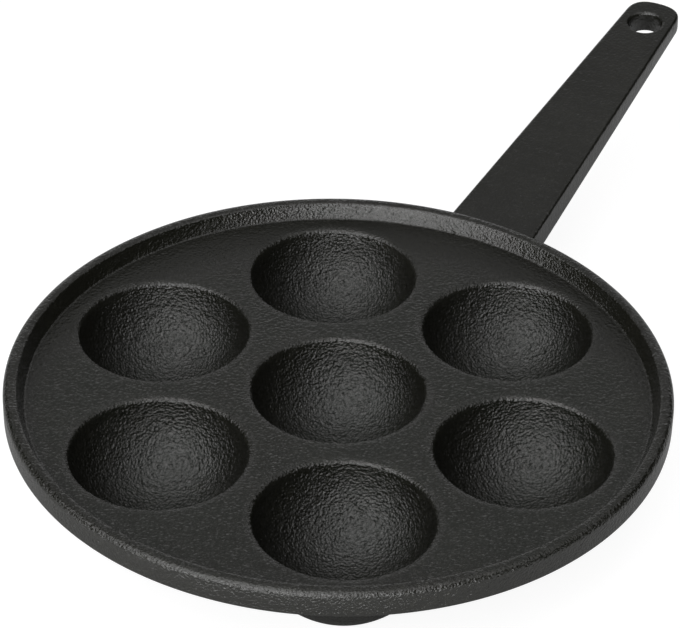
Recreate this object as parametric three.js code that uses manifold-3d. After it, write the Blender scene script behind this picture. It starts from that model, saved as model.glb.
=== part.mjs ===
// Poffertjes pan in seasoned cast iron: a round cook plate with a low rim, deep cups in a ring round a
// middle one, and a flat handle that tapers and rises to a hanging hole.
// The real pan is one casting. It is parted here along its own lines into plate, rim, cups and handle.
// Millimetres, +Z up. The origin is the middle of the centre cup's foot, on the surface the pan stands on.
// The handle runs out along +X, midway between two cups.

import * as THREE from 'three';
import { mergeVertices } from 'three/addons/utils/BufferGeometryUtils.js';
import Module from 'manifold-3d';

const wasm = await Module();
wasm.setup();

const degree = Math.PI / 180;

// Parting of the casting
const seamGap = 0.3; // between two pieces that meet side by side

// Cook plate
const deckHeight = 30; // plate's top above the feet
const plateThickness = 4.1;

// Cups
const outerCupCount = 6;
const mouthRadius = 28.5; // of the hollow at the deck, before its lip is rounded
const cupDepth = 26; // from the deck to the bottom of the hollow
const cupWall = 3.95; // at the underside of the plate
const cupSpacing = 2.5; // between neighbouring cups, under the plate
const lipRound = 1.3;
const seatWidth = 2.05; // shoulder of the cup that the plate lies on
const footRadius = 15.6; // of the flat disc that the cup stands on
const wallBulge = 3.2; // of the outer wall, from the straight line between shoulder and foot

// Rim
const edgeSpacing = 2.55; // from the outer cups to where the rim's fillet leaves the deck
const rimRise = 5.5; // above the deck
const rimTopWidth = 3.8; // between the corners of the rim's top, before they are rounded
const rimDraft = 12 * degree; // lean of the inner wall
const rimFillet = 3; // from the inner wall into the deck
const rimInnerRound = 1.2;
const rimOuterRound = 2.5;
const rimBottomRound = 1.8;

// Handle
const handleLength = 159.3; // along its top face, from the rim to the tip
const handleRise = 8 * degree;
const handleTopDrop = 2.4; // from the deck down to the top face, at the rim
const handleRootWidth = 33.9;
const handleRootThickness = 12;
const handleTipThickness = 8.8;
const handleTopRound = 1.2; // along the edges of the top face
const handleUnderRound = 3; // along the edges of the underside
const handleEndLength = 9.3; // stretch over which the sides round off into the tip
const handleEndFullness = 0.69; // of that rounding: 0.55 is an ellipse and 1 is square
const hangHoleRadius = 6.4;
const holeSideWall = 4.3; // iron beside the hanging hole
const holeEndWall = 7.8; // iron between the hanging hole and the tip
const rootFilletRun = 10; // of the fillet from the rim onto the handle's top
const rootFilletDrop = 3; // from the rim's top down to that fillet
const rootFilletInset = 2.4; // of that fillet from each side of the handle
const rootNoseRun = 9; // of the rounding from the handle's underside up to the rim
const rootNoseFace = 2.2; // height of the tongue's end face under the rim

// Finish of the seasoned iron
const ironMetalness = 0.3;
const plateFinish = { color: 0x333332, roughness: 0.55 };
const rimFinish = { color: 0x343433, roughness: 0.5 };
const cupFinish = { color: 0x2c2c2b, roughness: 0.5 };
const handleFinish = { color: 0x2f2f2e, roughness: 0.6 };

// Fineness of the round surfaces
const cupFacets = 32;
const rimFacets = 72;
const circleSteps = 20; // half the facets of a drawn circle
const bowlSteps = 7;
const wallSteps = 5;
const filletSteps = 4;
const roundSteps = 3;
const bevelSteps = 2;

// Heights
const plateUnderside = deckHeight - plateThickness;
const rimTop = deckHeight + rimRise;

// The hollow is part of a sphere through the mouth and the bottom of the cup
const bowlRadius = (mouthRadius ** 2 + cupDepth ** 2) / (2 * cupDepth);
const bowlCentre = deckHeight - cupDepth + bowlRadius;

// The lip is an arc that touches the deck and the sphere
const lipCentreHeight = deckHeight - lipRound;
const lipCentreRadius = Math.sqrt((bowlRadius + lipRound) ** 2 - (bowlCentre - lipCentreHeight) ** 2);
const lipEndAngle = Math.atan2(bowlCentre - lipCentreHeight, -lipCentreRadius);

// Plan of the plate, from the middle outwards
const cupOuterRadius = mouthRadius + cupWall;
const collarRadius = cupOuterRadius - seatWidth;
const cupPitch = 2 * cupOuterRadius + cupSpacing;
const rimSeatRadius = cupPitch + cupOuterRadius + edgeSpacing;
const filletRun = rimFillet * Math.tan((Math.PI / 2 - rimDraft) / 2);
const rimInnerRadius = rimSeatRadius + filletRun + rimRise * Math.tan(rimDraft);
const panRadius = rimInnerRadius + rimTopWidth;

function point(radius, height) {
  return new THREE.Vector2(radius, height);
}

function arc(centre, radius, from, to, steps, clockwise = false) {
  return new THREE.ArcCurve(centre.x, centre.y, radius, from, to, clockwise).getPoints(steps);
}

// Solid of revolution about the vertical axis, from a profile of radius and height
function turned(profile, facets) {
  return new THREE.LatheGeometry(profile, facets).rotateX(Math.PI / 2);
}

function circle(x, y, radius) {
  return new THREE.Path().absarc(x, y, radius, 0, 2 * Math.PI);
}

function solidOf(geometry) {
  const bare = geometry.clone();
  bare.deleteAttribute('normal');
  bare.deleteAttribute('uv');
  const merged = mergeVertices(bare);
  const vertProperties = Float32Array.from(merged.attributes.position.array);
  const triVerts = Uint32Array.from(merged.index.array);
  return new wasm.Manifold(new wasm.Mesh({ numProp: 3, vertProperties, triVerts }));
}

function geometryOf(solid) {
  const mesh = solid.getMesh();
  const geometry = new THREE.BufferGeometry();
  geometry.setAttribute('position', new THREE.BufferAttribute(mesh.vertProperties, 3));
  geometry.setIndex(new THREE.BufferAttribute(mesh.triVerts, 1));
  geometry.computeVertexNormals();
  return geometry;
}

// Places of the cups' axes: one in the middle, the rest on the pitch circle, astride the handle's line
function cupPlaces() {
  const places = [{ name: 'cup_centre', x: 0, y: 0 }];
  for (let i = 0; i < outerCupCount; i += 1) {
    const angle = (2 * Math.PI * (i + 0.5)) / outerCupCount;
    places.push({ name: `cup_${i + 1}`, x: cupPitch * Math.cos(angle), y: cupPitch * Math.sin(angle) });
  }
  return places;
}

// Plate: a disc with a round hole for each cup's collar
function plateGeometry() {
  const disc = new THREE.Shape();
  disc.absarc(0, 0, rimSeatRadius - seamGap, 0, 2 * Math.PI);
  for (const place of cupPlaces()) {
    disc.holes.push(circle(place.x, place.y, collarRadius + seamGap));
  }
  const settings = { depth: plateThickness, bevelEnabled: false, curveSegments: circleSteps };
  return new THREE.ExtrudeGeometry(disc, settings).translate(0, 0, plateUnderside);
}

// Cup: a spherical hollow with a rounded lip, a collar through the plate, and a bowed wall on a flat foot
function cupGeometry() {
  const foot = point(footRadius, 0);
  const shoulder = point(cupOuterRadius, plateUnderside);
  const chord = shoulder.clone().sub(foot);
  const wallRadius = (chord.lengthSq() / 4 + wallBulge ** 2) / (2 * wallBulge);
  const inward = point(-chord.y, chord.x).normalize();
  const middle = foot.clone().add(shoulder).divideScalar(2);
  const centre = middle.addScaledVector(inward, wallRadius - wallBulge);
  const footAngle = Math.atan2(foot.y - centre.y, foot.x - centre.x);
  const shoulderAngle = Math.atan2(shoulder.y - centre.y, shoulder.x - centre.x);

  const wall = arc(centre, wallRadius, footAngle, shoulderAngle, wallSteps);
  const lip = arc(point(lipCentreRadius, lipCentreHeight), lipRound, Math.PI / 2, lipEndAngle, roundSteps);
  const bowl = arc(point(0, bowlCentre), bowlRadius, lipEndAngle - Math.PI, -Math.PI / 2, bowlSteps, true);
  const collar = [point(collarRadius, plateUnderside), point(collarRadius, deckHeight)];
  const bottom = point(0, deckHeight - cupDepth);
  return turned([point(0, 0), ...wall, ...collar, ...lip, ...bowl.slice(1, -1), bottom], cupFacets);
}

// Rim: a ring with a rounded top, a drafted inner wall and a fillet down to the deck
function rimGeometry() {
  const innerRoundRun = rimInnerRound * Math.tan((Math.PI / 2 - rimDraft) / 2);
  const bottomCentre = point(panRadius - rimBottomRound, plateUnderside + rimBottomRound);
  const outerCentre = point(panRadius - rimOuterRound, rimTop - rimOuterRound);
  const innerCentre = point(rimInnerRadius + innerRoundRun, rimTop - rimInnerRound);
  const filletCentre = point(rimSeatRadius, deckHeight + rimFillet);
  const seat = point(rimSeatRadius, plateUnderside);
  return turned(
    [
      seat,
      ...arc(bottomCentre, rimBottomRound, -Math.PI / 2, 0, roundSteps),
      ...arc(outerCentre, rimOuterRound, 0, Math.PI / 2, roundSteps),
      ...arc(innerCentre, rimInnerRound, Math.PI / 2, Math.PI - rimDraft, roundSteps),
      ...arc(filletCentre, rimFillet, -rimDraft, -Math.PI / 2, filletSteps, true),
      seat,
    ],
    rimFacets,
  );
}

// Point of the handle in the vertical plane through its axis, from its run along the top and its depth below
function handlePoint(run, depth) {
  const x = panRadius + run * Math.cos(handleRise) + depth * Math.sin(handleRise);
  const z = deckHeight - handleTopDrop + run * Math.sin(handleRise) - depth * Math.cos(handleRise);
  return point(x, z);
}

// Prism across the handle, from an outline in that vertical plane
function prismAcross(outline, width) {
  const settings = { depth: width, bevelEnabled: false, curveSegments: circleSteps };
  const geometry = new THREE.ExtrudeGeometry(outline, settings);
  return geometry.translate(0, 0, -width / 2).rotateX(Math.PI / 2);
}

// Outline of the handle from above, in its own plane, from under the rim to the rounded tip
function handleOutline() {
  const rootRun = rimSeatRadius - panRadius;
  const endRun = handleLength - handleEndLength;
  const tipHalf = hangHoleRadius + holeSideWall;
  const rootHalf = handleRootWidth / 2 + ((handleRootWidth / 2 - tipHalf) * -rootRun) / endRun;
  const endReach = endRun + handleEndFullness * handleEndLength;
  const tipReach = handleEndFullness * tipHalf;

  const outline = new THREE.Shape();
  outline.moveTo(rootRun, -rootHalf);
  outline.lineTo(endRun, -tipHalf);
  outline.bezierCurveTo(endReach, -tipHalf, handleLength, -tipReach, handleLength, 0);
  outline.bezierCurveTo(handleLength, tipReach, endReach, tipHalf, endRun, tipHalf);
  outline.lineTo(rootRun, rootHalf);
  outline.closePath();
  return outline;
}

// Slab of that outline with rounded edges, thicker towards the root, set at the handle's slope
function handleSlab(outline, low, high, round) {
  const geometry = new THREE.ExtrudeGeometry(outline, {
    depth: high - low - 2 * round,
    bevelThickness: round,
    bevelSize: round,
    bevelOffset: -round,
    bevelSegments: bevelSteps,
    curveSegments: circleSteps / 2,
  });
  geometry.translate(0, 0, low + round);

  const position = geometry.attributes.position;
  const extra = handleRootThickness / handleTipThickness - 1;
  for (let i = 0; i < position.count; i += 1) {
    const share = 1 - position.getX(i) / handleLength;
    position.setZ(i, position.getZ(i) * (1 + extra * share));
  }
  return geometry.rotateY(-handleRise).translate(panRadius, 0, deckHeight - handleTopDrop);
}

// Bar of the handle: the common part of a slab with the hole and the top's edges, and one with the
// underside's edges
function handleBar() {
  const holed = handleOutline();
  holed.holes.push(circle(handleLength - holeEndWall - hangHoleRadius, 0, hangHoleRadius));
  const below = -handleTipThickness - 2 * handleTopRound;
  const top = handleSlab(holed, below, 0, handleTopRound);
  const under = handleSlab(handleOutline(), -handleTipThickness, 2 * handleUnderRound, handleUnderRound);
  return solidOf(top).intersect(solidOf(under));
}

// Fillet that carries the rim's outer wall onto the handle's top face
function rootFillet() {
  const top = rimTop - rootFilletDrop;
  const corner = handlePoint(0, 0);
  const end = handlePoint(rootFilletRun, 0);
  const buried = handlePoint(rootFilletRun, handleTopRound);
  const outline = new THREE.Shape();
  outline.moveTo(rimSeatRadius, plateUnderside);
  outline.lineTo(buried.x, buried.y);
  outline.lineTo(end.x, end.y);
  outline.quadraticCurveTo(corner.x, corner.y, panRadius, top);
  outline.lineTo(rimSeatRadius, top);
  outline.closePath();
  return prismAcross(outline, handleRootWidth - 2 * rootFilletInset);
}

// Iron taken off below the root, so that the underside rounds up to a thin tongue under the rim
function rootNoseCut() {
  const start = handlePoint(rootNoseRun, handleRootThickness);
  const corner = handlePoint(rimSeatRadius - panRadius, handleRootThickness);
  const floor = corner.y - handleRootThickness;
  const inside = rimSeatRadius - handleRootThickness;
  const faceTop = plateUnderside - rootNoseFace;
  const outline = new THREE.Shape();
  outline.moveTo(start.x, floor);
  outline.lineTo(start.x, start.y);
  outline.quadraticCurveTo(rimSeatRadius, corner.y, rimSeatRadius, faceTop);
  outline.lineTo(inside, faceTop);
  outline.lineTo(inside, floor);
  outline.closePath();
  return prismAcross(outline, 2 * handleRootWidth);
}

// Room for the rim: its outside and the seam, from its underside up
function rimRoom() {
  const radius = panRadius + seamGap;
  const height = 2 * (rimTop - plateUnderside);
  const geometry = new THREE.CylinderGeometry(radius, radius, height, rimFacets);
  return geometry.rotateX(Math.PI / 2).translate(0, 0, plateUnderside + height / 2);
}

function handleGeometry() {
  const filleted = handleBar().add(solidOf(rootFillet()));
  return geometryOf(filleted.subtract(solidOf(rootNoseCut())).subtract(solidOf(rimRoom())));
}

function piece(name, geometry, finish) {
  const material = new THREE.MeshStandardMaterial({ ...finish, metalness: ironMetalness });
  const mesh = new THREE.Mesh(geometry, material);
  mesh.name = name;
  return mesh;
}

const pan = new THREE.Group();
pan.name = 'poffertjes_pan';
pan.add(piece('deck_plate', plateGeometry(), plateFinish));
pan.add(piece('rim', rimGeometry(), rimFinish));
for (const place of cupPlaces()) {
  const cup = piece(place.name, cupGeometry(), cupFinish);
  cup.position.set(place.x, place.y, 0);
  pan.add(cup);
}
pan.add(piece('handle', handleGeometry(), handleFinish));

export default pan;
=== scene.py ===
# %% [markdown]
# # A cast-iron pan with baking cups
# The pan is one iron casting: a flat plate with a low rim, deep round cups and a handle with a hanging
# hole. The imported model gives its parts as plain solids at their real size. This lesson makes each part
# again as a fine mesh with soft casting edges, and then gives the iron its grain, its oily film and its
# wear. The first step loads the solids as a fixed frame and keeps their box, from which sizes are read.

# %% Load the frame
import math

import bmesh
import bpy
from mathutils import Matrix, Vector, noise
from mathutils.geometry import delaunay_2d_cdt


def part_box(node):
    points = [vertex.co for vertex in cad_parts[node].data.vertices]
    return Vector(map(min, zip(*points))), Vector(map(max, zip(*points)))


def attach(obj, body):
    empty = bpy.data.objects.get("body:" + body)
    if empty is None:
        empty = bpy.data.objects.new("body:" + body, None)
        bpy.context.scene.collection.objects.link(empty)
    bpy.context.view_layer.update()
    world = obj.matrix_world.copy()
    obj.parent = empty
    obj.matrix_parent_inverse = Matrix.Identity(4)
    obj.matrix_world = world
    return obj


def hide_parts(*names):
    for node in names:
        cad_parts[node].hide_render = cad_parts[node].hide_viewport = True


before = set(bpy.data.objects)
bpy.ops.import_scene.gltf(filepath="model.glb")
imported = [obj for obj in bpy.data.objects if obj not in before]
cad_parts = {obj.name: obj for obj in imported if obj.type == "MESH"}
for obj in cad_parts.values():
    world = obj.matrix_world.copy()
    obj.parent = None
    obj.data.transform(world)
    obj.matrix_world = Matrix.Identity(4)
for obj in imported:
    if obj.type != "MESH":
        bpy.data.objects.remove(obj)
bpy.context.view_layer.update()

print("solids:", sorted(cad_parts))

# %% [markdown]
# ## Camera
# A product shot like this is taken from above the near edge with a long lens, so the far side hardly
# shrinks. The camera could be aimed with a Track To constraint. Here its three axes are written out
# instead, because the picture is tilted by about one degree and that roll is easiest to set on the axes
# themselves.

# %% Camera
MM = 0.001
DECK_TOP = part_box("deck_plate")[1].z

PICTURE_WIDTH = 680
FOCAL_PIXELS = 2654.6
SENSOR_WIDTH = 36.0
CAMERA_TURN = math.radians(-62.17)
CAMERA_PITCH = math.radians(34.72)
CAMERA_ROLL = math.radians(1.14)
CAMERA_OUT = 704.7 * MM
CAMERA_ABOVE_DECK = 518.0 * MM


def make_camera():
    turn = Matrix.Rotation(CAMERA_TURN, 3, "Z")
    back = turn @ Vector((0, -math.cos(CAMERA_PITCH), math.sin(CAMERA_PITCH)))
    level_right = turn @ Vector((1, 0, 0))
    level_up = back.cross(level_right)
    right = level_right * math.cos(CAMERA_ROLL) + level_up * math.sin(CAMERA_ROLL)
    up = level_up * math.cos(CAMERA_ROLL) - level_right * math.sin(CAMERA_ROLL)
    place = turn @ Vector((0, -CAMERA_OUT, 0)) + Vector((0, 0, DECK_TOP + CAMERA_ABOVE_DECK))
    data = bpy.data.cameras.new("camera")
    data.sensor_fit = "HORIZONTAL"
    data.sensor_width = SENSOR_WIDTH
    data.lens = FOCAL_PIXELS * SENSOR_WIDTH / PICTURE_WIDTH
    camera = bpy.data.objects.new("camera", data)
    axes = Matrix((right, up, back)).transposed()
    camera.matrix_world = Matrix.Translation(place) @ axes.to_4x4()
    bpy.context.scene.collection.objects.link(camera)
    bpy.context.scene.camera = camera
    return camera


camera = make_camera()
print("camera at", [round(c, 3) for c in camera.location], "lens", round(camera.data.lens, 1), "mm")

# %% [markdown]
# ## Sizes and helpers
# The main sizes are read from the frame, so the meshes follow the solids. Only the small casting radii
# are new. Everything round on the pan is a profile turned about an axis. Blender has a Screw modifier for
# that, but rings of vertices written by a short function give full control of the spacing, and no seam is
# left to merge.

# %% Sizes
PLATE_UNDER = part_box("deck_plate")[0].z
PAN_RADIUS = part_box("rim")[1].x
RIM_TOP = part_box("rim")[1].z
CUP_NODES = sorted(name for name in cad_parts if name.startswith("cup_"))
CUP_OUTER = (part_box("cup_centre")[1].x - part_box("cup_centre")[0].x) / 2


def box_axis(node):
    low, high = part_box(node)
    return Vector(((low.x + high.x) / 2, (low.y + high.y) / 2))


CUP_AXES = {node: box_axis(node) for node in CUP_NODES}


def arc(centre, radius, start, end, steps):
    """Points of an arc in the plane of radius and height, angles in degrees, both ends included."""
    angles = [math.radians(start + (end - start) * i / steps) for i in range(steps + 1)]
    return [(centre[0] + radius * math.cos(a), centre[1] + radius * math.sin(a)) for a in angles]


def bend(start, corner, end, steps):
    """A soft corner: a curve that leaves start towards the corner and reaches end coming from it."""
    points = []
    for i in range(steps + 1):
        t = i / steps
        a, b, c = (1 - t) ** 2, 2 * t * (1 - t), t * t
        radius = a * start[0] + b * corner[0] + c * end[0]
        height = a * start[1] + b * corner[1] + c * end[1]
        points.append((radius, height))
    return points


print("cups:", CUP_NODES, "pan radius", round(PAN_RADIUS / MM, 1), "mm")

# %% Turning a profile and finishing a mesh
WAVE_SIZE = 24 * MM
WAVE_DEPTH = 0.08 * MM
SHARP_ANGLE = math.radians(50)
ON_AXIS = 1e-9


def cast_wave(point):
    """The iron shrinks a little unevenly as it cools: how far the skin sinks at this place."""
    return WAVE_DEPTH * (0.5 + 0.5 * noise.noise(Vector(point) / WAVE_SIZE))


def make_piece(name, vertices, faces, **values):
    """A smooth mesh object; each keyword is one number per vertex, kept on the mesh under that name."""
    mesh = bpy.data.meshes.new(name)
    mesh.from_pydata(vertices, [], faces)
    mesh.validate()
    mesh.shade_smooth()
    mesh.set_sharp_from_angle(angle=SHARP_ANGLE)
    for label, numbers in values.items():
        layer = mesh.attributes.new(label, "FLOAT", "POINT")
        layer.data.foreach_set("value", numbers)
    piece = bpy.data.objects.new(name, mesh)
    bpy.context.scene.collection.objects.link(piece)
    return piece


def turned(profile, facets, axis, closed):
    """Rings of vertices about a vertical axis, from (radius, height) points with the iron on the left."""
    vertices, rings, faces = [], [], []
    for radius, height in profile:
        count = 1 if radius < ON_AXIS else facets
        rings.append(range(len(vertices), len(vertices) + count))
        for i in range(count):
            angle = 2 * math.pi * i / facets
            vertices.append((axis.x + radius * math.cos(angle), axis.y + radius * math.sin(angle), height))
    pairs = list(zip(rings, rings[1:]))
    if closed:
        pairs.append((rings[-1], rings[0]))
    for low, high in pairs:
        for i in range(facets):
            j = (i + 1) % facets
            corners = [low[i % len(low)], low[j % len(low)], high[j % len(high)], high[i % len(high)]]
            faces.append(list(dict.fromkeys(corners)))
    return vertices, faces


print("skin uneven by up to", round(WAVE_DEPTH / MM, 2), "mm")

# %% [markdown]
# ## Cups
# Each cup is a bowl with a flat foot. Its hollow is part of a ball, and its outer wall bows down to the
# foot. At the lip the iron first eases down from the plate in a wide arc and then turns into the bowl in
# a small round, as the sand mould leaves it. A boolean of two balls would make the same hollow, but then
# the lip would need a bevel on a cut edge. One profile holds bowl, lip, collar, wall and foot together.
# The lip also gets a value called edge_wear, which the iron uses later to look rubbed there, and the land
# beside the plate gets one called deck_grain, so that the coarse grain of the cup gives way to the softer
# grain of the plate.

# %% Cup profile
MOUTH_RADIUS = 28.57 * MM
CUP_DEPTH = 26 * MM
LIP_ROUND = 1.7 * MM
LIP_EASE = 5.5 * MM
LIP_TILT = math.radians(18)
SEAT_WIDTH = 0.9 * MM
FOOT_RADIUS = 15.6 * MM
WALL_BULGE = 3.2 * MM
FOOT_ROUND = 1.2 * MM
UNDER_FILLET = 1.1 * MM
WALL_STEPS = 24
EASE_STEPS = 6
LIP_STEPS = 8
BOWL_STEPS = 40
CORNER_STEPS = 5
COLLAR_RADIUS = CUP_OUTER - SEAT_WIDTH
BOWL_RADIUS = (MOUTH_RADIUS**2 + CUP_DEPTH**2) / (2 * CUP_DEPTH)
BOWL_CENTRE = DECK_TOP - CUP_DEPTH + BOWL_RADIUS


def cup_wall():
    """Points of the bowed outer wall, from the foot's edge to the plate."""
    foot = Vector((FOOT_RADIUS, 0))
    top = Vector((CUP_OUTER, PLATE_UNDER))
    chord = top - foot
    radius = (chord.length_squared / 4 + WALL_BULGE**2) / (2 * WALL_BULGE)
    centre = (foot + top) / 2 + Vector((-chord.y, chord.x)).normalized() * (radius - WALL_BULGE)
    start = math.degrees(math.atan2(foot.y - centre.y, foot.x - centre.x))
    end = math.degrees(math.atan2(top.y - centre.y, top.x - centre.x))
    return arc(centre, radius, start, end, WALL_STEPS)


def cup_profile():
    """Points from the middle of the foot up the wall and down the bowl, and those of the lip alone."""
    wall = cup_wall()
    foot_edge = (FOOT_RADIUS, 0)
    shoulder = (CUP_OUTER, PLATE_UNDER)
    ease = LIP_EASE - LIP_ROUND
    lip_height = DECK_TOP - LIP_EASE + ease * math.cos(LIP_TILT)
    lip_radius = math.sqrt((BOWL_RADIUS + LIP_ROUND) ** 2 - (BOWL_CENTRE - lip_height) ** 2)
    lip_end = math.degrees(math.atan2(BOWL_CENTRE - lip_height, -lip_radius))
    turn = 90 + math.degrees(LIP_TILT)
    ease_centre = (lip_radius + ease * math.sin(LIP_TILT), DECK_TOP - LIP_EASE)
    lip = arc(ease_centre, LIP_EASE, 90, turn, EASE_STEPS)
    lip += arc((lip_radius, lip_height), LIP_ROUND, turn, lip_end, LIP_STEPS)[1:]
    bowl = arc((0, BOWL_CENTRE), BOWL_RADIUS, lip_end - 180, -90, BOWL_STEPS)
    outside = [(0, 0), (FOOT_RADIUS / 2, 0)]
    outside += bend((FOOT_RADIUS - FOOT_ROUND, 0), foot_edge, wall[1], CORNER_STEPS)
    outside += wall[2:-2]
    outside += bend(wall[-2], shoulder, (CUP_OUTER + UNDER_FILLET, PLATE_UNDER), CORNER_STEPS)
    collar = [(COLLAR_RADIUS, PLATE_UNDER), (COLLAR_RADIUS, DECK_TOP)]
    return outside + collar + lip + bowl[1:-1] + [(0, DECK_TOP - CUP_DEPTH)], lip


cup_points, lip_points = cup_profile()
land = COLLAR_RADIUS - max(radius for radius, height in lip_points)
print("cup profile:", len(cup_points), "points, bowl radius", round(BOWL_RADIUS / MM, 2), "mm")
print("flat land outside the lip:", round(land / MM, 2), "mm")

# %% Cups
CUP_FACETS = 160
LIP_RUB_REACH = 2 * MM
DECK_GRAIN_DROP = 0.16 * MM


def lip_wear(point, axis):
    """1 on the lip, fading over a short way into the bowl."""
    radius = math.hypot(point[0] - axis.x, point[1] - axis.y)
    reach = min(math.hypot(radius - r, point[2] - z) for r, z in lip_points)
    return max(0.0, 1 - reach / LIP_RUB_REACH) if point[2] > PLATE_UNDER else 0.0


def deck_share(point):
    """1 on the flat land beside the plate, falling to 0 as the lip turns down."""
    drop = DECK_TOP - point[2]
    return max(0.0, 1 - drop / DECK_GRAIN_DROP)


def make_cup(node):
    axis = CUP_AXES[node]
    vertices, faces = turned(cup_points, CUP_FACETS, axis, closed=False)
    deck = [deck_share(v) for v in vertices]
    wear = [lip_wear(v, axis) * (1 - d) for v, d in zip(vertices, deck)]
    cast = [(x, y, z - cast_wave((x, y, z)) if z > PLATE_UNDER else z) for x, y, z in vertices]
    piece = make_piece(node + "_iron", cast, faces, edge_wear=wear, deck_grain=deck)
    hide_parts(node)
    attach(piece, "root")
    return piece


cups = [make_cup(node) for node in CUP_NODES]
print("cups made:", len(cups), "with", len(cups[0].data.polygons), "faces each")

# %% [markdown]
# ## Plate
# The plate is flat, with a round hole at each cup. A disc with holes can be made by filling its outlines,
# but a fill has long thin triangles that shade unevenly. A Delaunay triangulation takes the same outlines
# and a field of loose points between them, so all its triangles are of like size. The holes are drawn
# with as many points as the cups have, at the same places, so the two meet with no crack.

# %% Plate plan
RIM_FACETS = 320
RIM_SEAT = PAN_RADIUS - 7.4 * MM
FIELD_STEP = 3.2 * MM
FIELD_MARGIN = 1.8 * MM


def ring_points(centre, radius, facets):
    angles = [2 * math.pi * i / facets for i in range(facets)]
    return [Vector((centre.x + radius * math.cos(a), centre.y + radius * math.sin(a))) for a in angles]


def loop_edges(first, count):
    return [(first + i, first + (i + 1) % count) for i in range(count)]


def field_points(inside):
    """Loose points in rows, set off by half a step in every other row, kept where inside says so."""
    rows = int(PAN_RADIUS / FIELD_STEP) + 1
    points = []
    for row in range(-rows, rows + 1):
        shift = FIELD_STEP / 2 if row % 2 else 0
        for column in range(-rows, rows + 1):
            point = Vector((column * FIELD_STEP + shift, row * FIELD_STEP * math.sqrt(3) / 2))
            if inside(point, FIELD_MARGIN):
                points.append(point)
    return points


def on_plate(point, margin):
    clear = all((point - axis).length > COLLAR_RADIUS + margin for axis in CUP_AXES.values())
    return clear and point.length < RIM_SEAT - margin


field = field_points(on_plate)
print("plate plan:", len(field), "loose points inside a seat radius of", round(RIM_SEAT / MM, 2), "mm")

# %% Plate
# The triangulation's output type, here the whole hull, and the reach within which points are one
FILL_HULL = 0
FILL_REACH = 1e-9


def slab_from_plan(points, edges, inside, top, under):
    """A closed slab: triangles over the plan on top, the same turned over below, a wall on each loop."""
    flat, _, triangles, *_ = delaunay_2d_cdt(points, edges, [], FILL_HULL, FILL_REACH)
    kept = [t for t in triangles if inside(sum((flat[i] for i in t), Vector((0, 0))) / 3)]
    count = len(flat)
    vertices = [top(p) for p in flat] + [under(p) for p in flat]
    faces = [list(t) for t in kept] + [[i + count for i in reversed(t)] for t in kept]
    sides = {(t[k], t[(k + 1) % 3]) for t in kept for k in range(3)}
    for a, b in sides:
        if (b, a) not in sides:
            faces.append([b, a, a + count, b + count])
    return vertices, faces


def make_plate():
    points = ring_points(Vector((0, 0)), RIM_SEAT, RIM_FACETS)
    edges = loop_edges(0, RIM_FACETS)
    for node in CUP_NODES:
        edges += loop_edges(len(points), CUP_FACETS)
        points += ring_points(CUP_AXES[node], COLLAR_RADIUS, CUP_FACETS)
    points += field

    def top(p):
        return (p.x, p.y, DECK_TOP - cast_wave((p.x, p.y, DECK_TOP)))

    def under(p):
        return (p.x, p.y, PLATE_UNDER)

    def inside(p):
        return on_plate(p, 0)

    vertices, faces = slab_from_plan(points, edges, inside, top, under)
    piece = make_piece("deck_plate_iron", vertices, faces)
    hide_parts("deck_plate")
    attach(piece, "root")
    return piece


plate = make_plate()
print("plate:", len(plate.data.polygons), "faces")

# %% [markdown]
# ## Rim
# The rim keeps batter on the plate and stiffens it. Its inner wall leans out so that the pattern could be
# drawn from the sand, and every corner is round. It is one more turned profile, this time a closed loop:
# up the outside, over the top, down the inner wall and through a hollow fillet onto the plate. The top is
# not flat but slightly crowned, so each arc starts in the direction in which the one before it ends.

# %% Rim profile
RIM_TOP_WIDTH = 4.3 * MM
RIM_DRAFT = math.radians(24)
RIM_INNER = PAN_RADIUS - RIM_TOP_WIDTH
RIM_FOOT = RIM_INNER - (RIM_TOP - DECK_TOP) * math.tan(RIM_DRAFT)
RIM_FILLET = 0.9 * MM
FILLET_RUN = RIM_FILLET * math.tan((math.pi / 2 - RIM_DRAFT) / 2)
RIM_INNER_ROUND = 1.0 * MM
RIM_OUTER_ROUND = 2.0 * MM
RIM_BOTTOM_ROUND = 1.7 * MM
CROWN_RADIUS = 5.0 * MM
CROWN_PLACE = PAN_RADIUS - 2.7 * MM
CROWN_STEPS = 10
EDGE_STEPS = 8


def tilted(tilt):
    """A direction in the profile's plane that leans outwards from straight up."""
    return Vector((math.sin(tilt), math.cos(tilt)))


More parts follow.
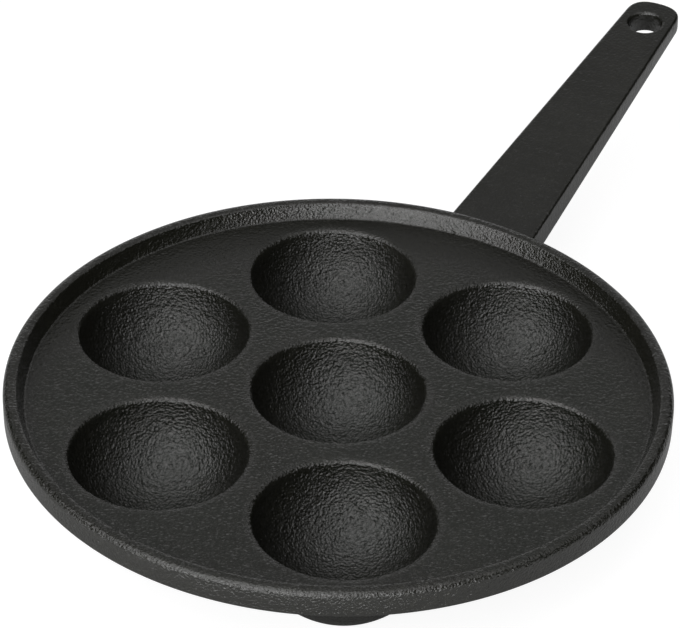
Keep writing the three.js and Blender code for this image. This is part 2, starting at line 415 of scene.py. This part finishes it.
def rim_profile():
    """Points once round the rim's section, from below the seat up the outside, and the inner edge alone."""
    draft = math.degrees(RIM_DRAFT)
    bottom = (PAN_RADIUS - RIM_BOTTOM_ROUND, PLATE_UNDER + RIM_BOTTOM_ROUND)
    crown = Vector((CROWN_PLACE, RIM_TOP - CROWN_RADIUS))
    outer_gap = CROWN_RADIUS - RIM_OUTER_ROUND
    inner_gap = CROWN_RADIUS - RIM_INNER_ROUND
    out_tilt = math.asin((PAN_RADIUS - RIM_OUTER_ROUND - CROWN_PLACE) / outer_gap)
    foot = Vector((RIM_FOOT, DECK_TOP))
    wall_reach = (foot - crown).dot(tilted(RIM_DRAFT - math.pi / 2)) - RIM_INNER_ROUND
    in_tilt = math.asin(wall_reach / inner_gap) - RIM_DRAFT
    start = 90 - math.degrees(out_tilt)
    end = 90 + math.degrees(in_tilt)
    crest = arc(crown + tilted(out_tilt) * outer_gap, RIM_OUTER_ROUND, 0, start, EDGE_STEPS)
    crest += arc(crown, CROWN_RADIUS, start, end, CROWN_STEPS)[1:-1]
    inner_centre = crown + tilted(-in_tilt) * inner_gap
    inner_edge = arc(inner_centre, RIM_INNER_ROUND, end, 180 - draft, EDGE_STEPS)
    hollow = (RIM_FOOT - FILLET_RUN, DECK_TOP + RIM_FILLET)
    profile = [(RIM_SEAT, PLATE_UNDER)]
    profile += arc(bottom, RIM_BOTTOM_ROUND, -90, 0, EDGE_STEPS)
    profile += crest + inner_edge
    profile += arc(hollow, RIM_FILLET, -draft, -90, EDGE_STEPS)
    profile.append((RIM_SEAT, DECK_TOP))
    return profile, inner_edge


rim_points, rim_edge = rim_profile()
print("rim profile:", len(rim_points), "points, inner radius", round(RIM_INNER / MM, 2), "mm")

# %% Rim
EDGE_RUB_REACH = 1.0 * MM
CROWN_RUB_DEPTH = 1.0 * MM
CROWN_RUB_FADE = 0.6 * MM


def rim_wear(point):
    """1 on the crown and the inner edge, where spoons, lids and cloths rub, fading down both sides."""
    radius = math.hypot(point[0], point[1])
    reach = min(math.hypot(radius - r, point[2] - z) for r, z in rim_edge)
    edge = 1 - reach / EDGE_RUB_REACH
    crown = (CROWN_RUB_DEPTH - (RIM_TOP - point[2])) / CROWN_RUB_FADE
    return max(0.0, min(1.0, max(edge, crown)))


def seat_share(point):
    """1 on the flat beside the plate, falling to 0 up the fillet."""
    rise = (point[2] - DECK_TOP) / RIM_FILLET
    inside = math.hypot(point[0], point[1]) < RIM_INNER
    return max(0.0, 1 - max(0.0, rise)) if inside and point[2] > PLATE_UNDER else 0.0


def make_rim():
    vertices, faces = turned(rim_points, RIM_FACETS, Vector((0, 0)), closed=True)
    wear = [rim_wear(v) for v in vertices]
    deck = [seat_share(v) for v in vertices]
    cast = []
    for x, y, z in vertices:
        sink = cast_wave((x, y, DECK_TOP))
        shrink = 1 - sink / PAN_RADIUS if z > DECK_TOP + RIM_FILLET else 1
        cast.append((x * shrink, y * shrink, z - sink if z > PLATE_UNDER + RIM_BOTTOM_ROUND else z))
    piece = make_piece("rim_iron", cast, faces, edge_wear=wear, deck_grain=deck)
    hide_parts("rim")
    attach(piece, "root")
    return piece


rim = make_rim()
print("rim:", len(rim.data.polygons), "faces")

# %% [markdown]
# ## Handle
# The handle is a flat bar that narrows, thins and rises towards a rounded end with a hanging hole. Its
# top edges are tight and its lower edges are fuller, as on a bar cast with its top face down in the
# mould. A bevel modifier can't change its width along the bar, so the skin is laid in rings: each ring
# follows the outline, drawn in by the round's own curve. The hole gets rings of the same kind, and flat
# fills close the top and the underside. Fills and rings are then joined point by point, so the skin is
# closed like the skin of a real bar. Near the pan, the top sweeps up to the rim and the underside rounds
# up to a tongue below it.

# %% Handle outline
HANDLE_LENGTH = 159.3 * MM
HANDLE_RISE = math.radians(8)
HANDLE_DROP = 2.4 * MM
ROOT_WIDTH = 33.9 * MM
TIP_WIDTH = 21.4 * MM
ROOT_THICKNESS = 12 * MM
TIP_THICKNESS = 8.8 * MM
END_LENGTH = 9.3 * MM
END_FULLNESS = 0.69
HOLE_RADIUS = 6.4 * MM
HOLE_PLACE = HANDLE_LENGTH - 14.6 * MM
ROOT_RUN = RIM_SEAT - PAN_RADIUS
SIDE_STEPS = 90
SIDE_SPACING = 1.3
END_STEPS = 24
ROOT_STEPS = 20


def half_width(run):
    share = run / (HANDLE_LENGTH - END_LENGTH)
    return (ROOT_WIDTH + (TIP_WIDTH - ROOT_WIDTH) * share) / 2


def thickness(run):
    return ROOT_THICKNESS + (TIP_THICKNESS - ROOT_THICKNESS) * run / HANDLE_LENGTH


def end_curve():
    """From the end of the straight side to the tip: a full, almost square quarter round."""
    start = HANDLE_LENGTH - END_LENGTH
    half = half_width(start)
    points = []
    for i in range(END_STEPS + 1):
        t = i / END_STEPS
        a, b, c, d = (1 - t) ** 3, 3 * t * (1 - t) ** 2, 3 * t * t * (1 - t), t**3
        run = start * (a + b) + b * END_FULLNESS * END_LENGTH + HANDLE_LENGTH * (c + d)
        points.append(Vector((run, half * (a + b + c * END_FULLNESS))))
    return points


def handle_outline():
    """The outline from above, along one side, round the end, back and across the root, then reversed."""
    straight = HANDLE_LENGTH - END_LENGTH
    left = []
    for i in range(SIDE_STEPS):
        run = ROOT_RUN + (straight - ROOT_RUN) * (i / SIDE_STEPS) ** SIDE_SPACING
        left.append(Vector((run, half_width(run))))
    left += end_curve()
    right = [Vector((p.x, -p.y)) for p in reversed(left[:-1])]
    root = half_width(ROOT_RUN)
    across = [Vector((ROOT_RUN, -root + 2 * root * i / ROOT_STEPS)) for i in range(1, ROOT_STEPS)]
    return list(reversed(left + right + across))


outline = handle_outline()
print("handle outline:", len(outline), "points")

# %% Handle bends
SWEEP_RUN = 10 * MM
SWEEP_BELOW_RIM = 3 * MM
SWEEP_RISE = RIM_TOP - SWEEP_BELOW_RIM - (DECK_TOP - HANDLE_DROP)
OVERLAP = 2 * MM
OVERLAP_FADE = 1 * MM
NOSE_RUN = 9 * MM
NOSE_FACE = 2.2 * MM


def to_pan(run, side, height):
    """From the handle's own run, side and height above its top face to the pan's frame."""
    x = PAN_RADIUS + run * math.cos(HANDLE_RISE) - height * math.sin(HANDLE_RISE)
    z = DECK_TOP - HANDLE_DROP + run * math.sin(HANDLE_RISE) + height * math.cos(HANDLE_RISE)
    return x, side, z


def sweep(run, side):
    """Rise of the top face near the rim: a hollow curve up its wall, then back down inside the rim."""
    x, y, _ = to_pan(run, side, 0)
    out = math.hypot(x, y) - PAN_RADIUS
    if out >= SWEEP_RUN:
        return 0.0
    if out >= 0:
        return SWEEP_RISE * (1 - math.sqrt(out / SWEEP_RUN)) ** 2
    tongue = PLATE_UNDER - (DECK_TOP - HANDLE_DROP)
    fade = min(1.0, max(0.0, (-out - OVERLAP) / OVERLAP_FADE))
    return SWEEP_RISE + (tongue - SWEEP_RISE) * fade


def nose(run):
    """Rise of the underside near the pan: a long round up to the thin end of the tongue."""
    if run >= NOSE_RUN:
        return 0.0
    t = 1 - math.sqrt(max(0.0, (run - ROOT_RUN) / (NOSE_RUN - ROOT_RUN)))
    end = PLATE_UNDER - NOSE_FACE - to_pan(ROOT_RUN, 0, -thickness(run))[2]
    return t * t * end


def handle_point(run, side, height):
    """A point of the plain bar, moved by the sweep at the top and the nose below."""
    share = -height / thickness(run)
    return to_pan(run, side, height + sweep(run, side) * (1 - share) + nose(run) * share)


tip = handle_point(HANDLE_LENGTH, 0, 0)
print("handle tip at", [round(c / MM, 1) for c in tip], "mm")

# %% Handle rings
TOP_ROUND = 1.1 * MM
TOP_ROUND_TIP = 1.4 * MM
UNDER_ROUND = 2.6 * MM
UNDER_ROUND_TIP = 3.4 * MM
HOLE_ROUND = 1.5 * MM
HOLE_UNDER_ROUND = 0.8 * MM
HOLE_FACETS = 72
ROUND_STEPS = 8
SAME_PLACE = 1e-6


def along(root_value, tip_value, run):
    return root_value + (tip_value - root_value) * max(0.0, run) / HANDLE_LENGTH


def round_rings(points, rounds, inward):
    """Rings of (run, side, height) from the underside to the top, drawn in by the two rounds."""
    count = len(points)
    rings = [[] for _ in range(2 * ROUND_STEPS + 2)]
    for i, point in enumerate(points):
        tangent = (points[(i + 1) % count] - points[i - 1]).normalized()
        normal = Vector((-tangent.y, tangent.x)) * inward
        if point.x < ROOT_RUN + SAME_PLACE:
            normal = Vector((0, -point.y / half_width(ROOT_RUN)))
        under, top = rounds(point.x)
        for k in range(ROUND_STEPS + 1):
            angle = math.pi / 2 * k / ROUND_STEPS
            low = point + normal * under * (1 - math.sin(angle))
            high = point + normal * top * (1 - math.cos(angle))
            rings[k].append((low.x, low.y, under * (1 - math.cos(angle)) - thickness(low.x)))
            rings[ROUND_STEPS + 1 + k].append((high.x, high.y, top * (math.sin(angle) - 1)))
    return rings


def edge_rounds(run):
    return along(UNDER_ROUND, UNDER_ROUND_TIP, run), along(TOP_ROUND, TOP_ROUND_TIP, run)


def hole_rounds(run):
    return HOLE_UNDER_ROUND, HOLE_ROUND


hole_circle = ring_points(Vector((HOLE_PLACE, 0)), HOLE_RADIUS, HOLE_FACETS)
edge_rings = round_rings(outline, edge_rounds, 1)
hole_rings = round_rings(hole_circle, hole_rounds, -1)
print("handle rings:", len(edge_rings), "round the edge,", len(hole_rings), "in the hole")

# %% Handle
BEND_STEP = 1.5 * MM
FIRST_ROW = 1.5
# Output type: only what lies inside the loops
FILL_INSIDE = 1
FIRST_RUBBED_RING = ROUND_STEPS + 3


def fill_flat(outer, inner, height):
    """Triangles between two rings, with a field of loose points where the face bends near the root."""
    points = [Vector(p[:2]) for p in outer + inner]
    edges = loop_edges(0, len(outer)) + loop_edges(len(outer), len(inner))
    centre = Vector((HOLE_PLACE, 0))
    hole = (points[-1] - centre).length
    for row in range(int((NOSE_RUN + SWEEP_RUN - ROOT_RUN) / BEND_STEP)):
        run = ROOT_RUN + BEND_STEP * (row + FIRST_ROW)
        half = half_width(run) - UNDER_ROUND - BEND_STEP
        columns = int(half / BEND_STEP)
        points += [Vector((run, column * half / columns)) for column in range(-columns, columns + 1)]
    flat, _, triangles, *_ = delaunay_2d_cdt(points, edges, [], FILL_INSIDE, FILL_REACH)
    middles = [sum((flat[i] for i in t), Vector((0, 0))) / 3 for t in triangles]
    kept = [t for t, middle in zip(triangles, middles) if (middle - centre).length > hole]
    return [(p.x, p.y, height(p.x)) for p in flat], kept


def weld(mesh):
    """Join the vertices that fills and rings share, and shade the flat fills flat up to the rounds."""
    skin = bmesh.new()
    skin.from_mesh(mesh)
    bmesh.ops.remove_doubles(skin, verts=skin.verts, dist=SAME_PLACE)
    for edge in skin.edges:
        if len({len(face.verts) for face in edge.link_faces}) > 1:
            edge.smooth = False
    open_edges = [edge for edge in skin.edges if len(edge.link_faces) != 2]
    print("handle skin:", len(skin.verts), "vertices,", len(open_edges), "open edges")
    skin.to_mesh(mesh)
    skin.free()


def make_handle():
    vertices, faces, wear = [], [], []

    def add_rings(rings, outward):
        first = len(vertices)
        count = len(rings[0])
        for k, ring in enumerate(rings):
            vertices.extend(handle_point(*p) for p in ring)
            wear.extend([1.0 if k >= FIRST_RUBBED_RING else 0.0] * count)
        for k in range(len(rings) - 1):
            for i in range(count):
                a = first + k * count + i
                b = first + k * count + (i + 1) % count
                quad = [a, b, b + count, a + count]
                faces.append(quad if outward else quad[::-1])

    def add_fill(ring, height, upward):
        flat, triangles = fill_flat(edge_rings[ring], hole_rings[ring], height)
        first = len(vertices)
        vertices.extend(handle_point(*p) for p in flat)
        wear.extend([0.0] * len(flat))
        for t in triangles:
            corners = [first + i for i in t]
            faces.append(corners if upward else corners[::-1])

    add_rings(edge_rings, outward=True)
    add_rings(hole_rings, outward=False)
    add_fill(-1, lambda run: 0.0, upward=True)
    add_fill(0, lambda run: -thickness(run), upward=False)
    piece = make_piece("handle_iron", vertices, faces, edge_wear=wear)
    weld(piece.data)
    return piece


handle = make_handle()
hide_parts("handle")
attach(handle, "root")
print("handle:", len(handle.data.polygons), "faces")

# %% [markdown]
# ## Iron: the sand's grain
# Molten iron takes the print of the sand it is poured into: rounded dents with fine ridges between them,
# and here and there a deeper pit where a grain broke loose. A picture of sand could be laid on as a
# texture, but it would stretch and repeat. Noise and cells in the pan's own space need no unwrapping and
# run on from piece to piece, so the pieces look like the one casting they are. The group below is shared
# by all four finishes.

# %% Node helpers
def new_group(name, inputs, outputs):
    """An empty shader node group with named number sockets, and its first and last node."""
    group = bpy.data.node_groups.new(name, "ShaderNodeTree")
    for label, value in inputs.items():
        socket = group.interface.new_socket(label, in_out="INPUT", socket_type="NodeSocketFloat")
        socket.default_value = value
    for label in outputs:
        group.interface.new_socket(label, in_out="OUTPUT", socket_type="NodeSocketFloat")
    return group, group.nodes.new("NodeGroupInput"), group.nodes.new("NodeGroupOutput")


def plug(tree, value, socket):
    """Link an output to a socket, or write a plain number into it."""
    if isinstance(value, bpy.types.NodeSocket):
        tree.links.new(value, socket)
    else:
        socket.default_value = value


def work_out(tree, operation, *values):
    """One step of arithmetic on outputs or plain numbers."""
    node = tree.nodes.new("ShaderNodeMath")
    node.operation = operation
    for value, socket in zip(values, node.inputs):
        plug(tree, value, socket)
    return node.outputs["Value"]


def soft_step(tree, value, low, high):
    """0 below low, 1 above high and a smooth change between them."""
    node = tree.nodes.new("ShaderNodeMapRange")
    node.interpolation_type = "SMOOTHSTEP"
    plug(tree, value, node.inputs["Value"])
    node.inputs["From Min"].default_value = low
    node.inputs["From Max"].default_value = high
    return node.outputs["Result"]


def cloud(tree, place, scale, detail):
    """Soft noise at a place, between 0 and 1."""
    node = tree.nodes.new("ShaderNodeTexNoise")
    tree.links.new(place, node.inputs["Vector"])
    plug(tree, scale, node.inputs["Scale"])
    node.inputs["Detail"].default_value = detail
    return node.outputs["Fac"]


# %% Grain group
GRAIN_DETAIL = 2.0
CELL_SCALE = 0.75
CELL_SHARE = 0.6
BROAD_SCALE = 0.4
BROAD_SHARE = 0.8
PIT_SCALE = 0.12
PIT_RANGE = (0.03, 0.16)


def make_grain():
    group, start, end = new_group("cast_grain", {"Scale": 1500.0, "Pits": 0.3}, ["Height", "Hollow"])
    place = group.nodes.new("ShaderNodeTexCoord").outputs["Object"]
    scale = start.outputs["Scale"]
    cells = group.nodes.new("ShaderNodeTexVoronoi")
    group.links.new(place, cells.inputs["Vector"])
    group.links.new(work_out(group, "MULTIPLY", scale, CELL_SCALE), cells.inputs["Scale"])
    fine = cloud(group, place, scale, GRAIN_DETAIL)
    broad = cloud(group, place, work_out(group, "MULTIPLY", scale, BROAD_SCALE), GRAIN_DETAIL)
    pits = group.nodes.new("ShaderNodeTexVoronoi")
    group.links.new(place, pits.inputs["Vector"])
    group.links.new(work_out(group, "MULTIPLY", scale, PIT_SCALE), pits.inputs["Scale"])
    pit = work_out(group, "SUBTRACT", 1.0, soft_step(group, pits.outputs["Distance"], *PIT_RANGE))
    hollow = work_out(group, "MULTIPLY", pit, start.outputs["Pits"])
    height = work_out(group, "MULTIPLY", cells.outputs["Distance"], CELL_SHARE)
    height = work_out(group, "ADD", height, fine)
    height = work_out(group, "ADD", height, work_out(group, "MULTIPLY", broad, BROAD_SHARE))
    height = work_out(group, "SUBTRACT", height, hollow)
    group.links.new(height, end.inputs["Height"])
    group.links.new(hollow, end.inputs["Hollow"])
    return group


grain_group = make_grain()
print("grain group:", len(grain_group.nodes), "nodes")

# %% [markdown]
# ## Iron: film and rubbed edges
# The pan is sold oiled and baked. The baked film is not even: some patches are a little duller or
# lighter, at a scale of one to a few centimetres. Where hands and tools touch it, on lips and edges, the
# film is rubbed smooth. Patches could be painted on the mesh by hand. Noise of two sizes is as uneven and
# needs no painting, and the rubbing follows the edge_wear values that the shapes already carry. Both
# effects are numbers between 0 and 1 that later steer colour, roughness and bumps.

# %% Film and wear groups
PATCH_DETAIL = 4.0
PATCH_RANGE = (0.35, 0.65)
FLECK_SCALE = 14.0
FLECK_DETAIL = 2.0
FLECK_RANGE = (0.4, 0.75)
RUB_SCALE = 260.0
RUB_DETAIL = 3.0
RUB_RANGE = (0.35, 0.65)
RUB_LEAST = 0.5


def make_film():
    group, start, end = new_group("oil_film", {"Scale": 45.0}, ["Patch", "Fleck"])
    place = group.nodes.new("ShaderNodeTexCoord").outputs["Object"]
    patch = cloud(group, place, start.outputs["Scale"], PATCH_DETAIL)
    fleck_scale = work_out(group, "MULTIPLY", start.outputs["Scale"], FLECK_SCALE)
    fleck = cloud(group, place, fleck_scale, FLECK_DETAIL)
    group.links.new(soft_step(group, patch, *PATCH_RANGE), end.inputs["Patch"])
    group.links.new(soft_step(group, fleck, *FLECK_RANGE), end.inputs["Fleck"])
    return group


def make_rub():
    group, start, end = new_group("edge_rub", {"Amount": 1.0}, ["Mask"])
    place = group.nodes.new("ShaderNodeTexCoord").outputs["Object"]
    edge = group.nodes.new("ShaderNodeAttribute")
    edge.attribute_name = "edge_wear"
    broken = soft_step(group, cloud(group, place, RUB_SCALE, RUB_DETAIL), *RUB_RANGE)
    broken = work_out(group, "MULTIPLY_ADD", broken, 1 - RUB_LEAST, RUB_LEAST)
    mask = work_out(group, "MULTIPLY", edge.outputs["Fac"], broken)
    mask = work_out(group, "MULTIPLY", mask, start.outputs["Amount"])
    group.links.new(mask, end.inputs["Mask"])
    return group


film_group = make_film()
rub_group = make_rub()
print("film group:", len(film_group.nodes), "nodes, rub group:", len(rub_group.nodes), "nodes")

# %% [markdown]
# ## Iron: four finishes
# The baked film is almost black and what we see is mostly light mirrored on it, spread by the grain. So
# the base colour is very dark and the look comes from roughness and bumps. A metallic shader would tint
# and brighten every reflection, which suits bare iron but not a baked skin. The cups keep the full grain
# of the sand, the rim and the plate are softer because their pattern was smoother, and the handle is
# nearly smooth with a few pits. Where one grain fades into another, the grain's middle height is taken
# off first, because a fading share of a height that is not zero on average would act as a slope.

# %% Iron finishes
IRON_IOR = 1.65
GRAIN_MIDDLE = 1.23
DARK_IRON = (0.0055, 0.0055, 0.0034, 1)
PALE_IRON = (0.0110, 0.0110, 0.0074, 1)
PATCH_DULLING = 0.04
PIT_DULLING = 0.3
RUB_SHINE = 0.06
RUB_SMOOTHING = 0.5


def add_group(tree, group, **values):
    node = tree.nodes.new("ShaderNodeGroup")
    node.node_tree = group
    for label, value in values.items():
        node.inputs[label].default_value = value
    return node.outputs


def cast_iron(name, grain_scale, grain_depth, pits, roughness, rub, on_deck=1.0):
    """One finish; on_deck is the share of the grain's depth that is left where deck_grain is 1."""
    material = bpy.data.materials.new(name)
    material.use_nodes = True
    tree = material.node_tree
    shader = tree.nodes["Principled BSDF"]
    shader.inputs["IOR"].default_value = IRON_IOR
    grain = add_group(tree, grain_group, Scale=grain_scale, Pits=pits)
    film = add_group(tree, film_group)
    worn = add_group(tree, rub_group, Amount=rub)
    colour = tree.nodes.new("ShaderNodeMix")
    colour.data_type = "RGBA"
    colour.inputs["A"].default_value = DARK_IRON
    colour.inputs["B"].default_value = PALE_IRON
    tone = work_out(tree, "MULTIPLY", film["Fleck"], film["Patch"])
    tree.links.new(tone, colour.inputs["Factor"])
    tree.links.new(colour.outputs["Result"], shader.inputs["Base Color"])
    dull = work_out(tree, "MULTIPLY_ADD", film["Patch"], PATCH_DULLING, roughness - PATCH_DULLING / 2)
    dull = work_out(tree, "ADD", dull, work_out(tree, "MULTIPLY", grain["Hollow"], PIT_DULLING))
    dull = work_out(tree, "SUBTRACT", dull, work_out(tree, "MULTIPLY", worn["Mask"], RUB_SHINE))
    tree.links.new(dull, shader.inputs["Roughness"])
    bump = tree.nodes.new("ShaderNodeBump")
    bump.inputs["Distance"].default_value = grain_depth
    deck = tree.nodes.new("ShaderNodeAttribute")
    deck.attribute_name = "deck_grain"
    share = work_out(tree, "MULTIPLY_ADD", deck.outputs["Fac"], on_deck - 1, 1.0)
    unrubbed = work_out(tree, "MULTIPLY_ADD", worn["Mask"], -RUB_SMOOTHING, 1.0)
    share = work_out(tree, "MULTIPLY", share, unrubbed)
    height = work_out(tree, "SUBTRACT", grain["Height"], GRAIN_MIDDLE)
    tree.links.new(work_out(tree, "MULTIPLY", height, share), bump.inputs["Height"])
    tree.links.new(bump.outputs["Normal"], shader.inputs["Normal"])
    return material


cup_iron = cast_iron("cup_iron", 1450, 0.46 * MM, 0.3, 0.20, 1.0, on_deck=0.50)
rim_iron = cast_iron("rim_iron", 1450, 0.34 * MM, 0.4, 0.19, 1.0, on_deck=0.68)
plate_iron = cast_iron("plate_iron", 1000, 0.27 * MM, 0.2, 0.22, 0.0)
handle_iron = cast_iron("handle_iron", 1000, 0.20 * MM, 0.6, 0.32, 0.5)
for piece in cups:
    piece.data.materials.append(cup_iron)
rim.data.materials.append(rim_iron)
plate.data.materials.append(plate_iron)
handle.data.materials.append(handle_iron)
print("finishes:", [m.name for m in (cup_iron, rim_iron, plate_iron, handle_iron)])

# %% [markdown]
# ## Floor
# The pan stands on a white table. The floor is a plain white sheet that gives light back to the pan's
# underside. To the camera and to mirrored rays it adds a glow of its own, so it reads as a white page and
# the shadow stays faint. In mirrored rays the glow carries a painted shadow: it fades where the pan covers
# the floor, so the feet stay dark as over a real table. Making the floor white with stronger lamps would
# wash out the iron. The sheet lies a hair below the feet, so that no two faces fill the same place.

# %% Floor
FLOOR_HALF = 12.0
FLOOR_HEIGHT = -0.03 * MM
FLOOR_WHITE = (0.8, 0.8, 0.8, 1)
FLOOR_GLOW = 0.9
FLOOR_SHARE = 0.3
FLOOR_COVER = 150 * MM
COVER_POWER = 2.0
FLOOR_MIRRORED = 0.44


def white_floor():
    """A plain white sheet to the light; a faint sheet with a glow to the camera and to mirrored rays."""
    material = bpy.data.materials.new("white_floor")
    material.use_nodes = True
    tree = material.node_tree
    tree.nodes.remove(tree.nodes["Principled BSDF"])
    sheet = tree.nodes.new("ShaderNodeBsdfDiffuse")
    sheet.inputs["Color"].default_value = FLOOR_WHITE
    faint = tree.nodes.new("ShaderNodeBsdfDiffuse")
    faint.inputs["Color"].default_value = tuple(c * FLOOR_SHARE for c in FLOOR_WHITE[:3]) + (1,)
    glow = tree.nodes.new("ShaderNodeEmission")
    covered = tree.nodes.new("ShaderNodeAmbientOcclusion")
    covered.inputs["Distance"].default_value = FLOOR_COVER
    page = tree.nodes.new("ShaderNodeAddShader")
    tree.links.new(faint.outputs["BSDF"], page.inputs[0])
    tree.links.new(glow.outputs["Emission"], page.inputs[1])
    path = tree.nodes.new("ShaderNodeLightPath").outputs
    seen = work_out(tree, "MAXIMUM", path["Is Camera Ray"], path["Is Glossy Ray"])
    seen = work_out(tree, "MAXIMUM", seen, path["Is Transmission Ray"])
    # painted shadow: mirrored rays see the glow dimmed where the pan covers the floor
    open_floor = work_out(tree, "POWER", covered.outputs["AO"], COVER_POWER)
    mirrored = work_out(tree, "MULTIPLY", open_floor, FLOOR_MIRRORED)
    bright = work_out(tree, "MAXIMUM", path["Is Camera Ray"], mirrored)
    tree.links.new(work_out(tree, "MULTIPLY", bright, FLOOR_GLOW), glow.inputs["Strength"])
    choice = tree.nodes.new("ShaderNodeMixShader")
    tree.links.new(seen, choice.inputs["Fac"])
    tree.links.new(sheet.outputs["BSDF"], choice.inputs[1])
    tree.links.new(page.outputs["Shader"], choice.inputs[2])
    tree.links.new(choice.outputs["Shader"], tree.nodes["Material Output"].inputs["Surface"])
    return material


def make_floor():
    mesh = bpy.data.meshes.new("floor")
    signs = [(-1, -1), (1, -1), (1, 1), (-1, 1)]
    corners = [(x * FLOOR_HALF, y * FLOOR_HALF, FLOOR_HEIGHT) for x, y in signs]
    mesh.from_pydata(corners, [], [(0, 1, 2, 3)])
    mesh.materials.append(white_floor())
    floor = bpy.data.objects.new("floor", mesh)
    bpy.context.scene.collection.objects.link(floor)
    return floor


floor = make_floor()
print(floor.name, "is", 2 * FLOOR_HALF, "m wide")

# %% [markdown]
# ## Light
# The pan stands among white cards and soft boxes: a low strip and a card in front that light the walls
# facing us, soft boxes above them and on the left that make the bright spot in each cup, weaker cards
# high over the pan, and cards behind that the plate and the lips mirror. The low right side is left dark,
# which gives the cups their depth. A picture of a studio, wrapped round the scene, could give such light
# too, but cards can be set one by one. Each is an area lamp aimed at the pan, placed by its turn from the
# camera, its height and its apparent size.

# %% Light
LIGHT_DISTANCE = 1.5
LIGHT_AIM = Vector((0.03, 0, 0.02))
LEVEL_WATTS = 10
# Turn from the camera, height, half width and half height in degrees, then level
CARDS = {
    "front_strip": (-22, 4, 42, 3.5, 2.5),
    "front_card": (0, 15, 20, 9, 0.90),
    "front_soft_box": (0, 42, 12, 8, 0.74),
    "front_left_card": (-45, 25, 18, 7, 1.08),
    "left_soft_box": (-33, 40, 18, 10, 0.82),
    "left_card": (-90, 40, 15, 10, 0.59),
    "high_left_card": (-50, 62, 22, 12, 0.50),
    "high_right_card": (65, 60, 20, 20, 0.28),
    "top_card": (0, 70, 14, 6, 0.42),
    "top_left_card": (-80, 80, 10, 8, 0.43),
    "back_card": (180, 9, 30, 9, 0.22),
    "back_wall": (180, 40, 30, 21, 0.068),
    "high_back_card": (180, 68, 30, 7, 0.26),
}


def make_card(name, turn, height, half_wide, half_high, level):
    data = bpy.data.lights.new(name, "AREA")
    data.shape = "RECTANGLE"
    data.size = 2 * LIGHT_DISTANCE * math.tan(math.radians(half_wide))
    data.size_y = 2 * LIGHT_DISTANCE * math.tan(math.radians(half_high))
    data.energy = LEVEL_WATTS * level * data.size * data.size_y
    up = math.radians(height)
    turned_round = Matrix.Rotation(CAMERA_TURN + math.radians(turn), 3, "Z")
    toward = turned_round @ Vector((0, -math.cos(up), math.sin(up)))
    card = bpy.data.objects.new(name, data)
    card.location = LIGHT_AIM + toward * LIGHT_DISTANCE
    card.rotation_euler = toward.to_track_quat("Z", "Y").to_euler()
    bpy.context.scene.collection.objects.link(card)
    return card


cards = [make_card(name, *values) for name, values in CARDS.items()]
print("lamps:", [card.name for card in cards])

# %% [markdown]
# ## Room
# Behind the cards the room is dim, but the picture has a white ground up to its edges. A white wall
# behind the pan would give that too, but it would also light the iron. So the world is white where the
# camera sees it, directly or through a clear piece, and mirrored or spread rays meet the dim room. The
# Standard view transform shows colours as they are written.

# %% Room
ROOM_DIM = 0.02
ROOM_MIRRORED = 0.025


def make_world():
    world = bpy.data.worlds.new("studio")
    world.use_nodes = True
    tree = world.node_tree
    room = tree.nodes["Background"]
    room.inputs["Color"].default_value = (1, 1, 1, 1)
    path = tree.nodes.new("ShaderNodeLightPath").outputs
    seen = work_out(tree, "MAXIMUM", path["Is Camera Ray"], path["Is Transmission Ray"])
    mirrored = work_out(tree, "MULTIPLY", path["Is Glossy Ray"], ROOM_MIRRORED)
    bright = work_out(tree, "MAXIMUM", work_out(tree, "MAXIMUM", seen, mirrored), ROOM_DIM)
    tree.links.new(bright, room.inputs["Strength"])
    bpy.context.scene.world = world
    return world


world = make_world()
bpy.context.scene.view_settings.view_transform = "Standard"
print("room:", world.name, "with", ROOM_DIM, "of full light")
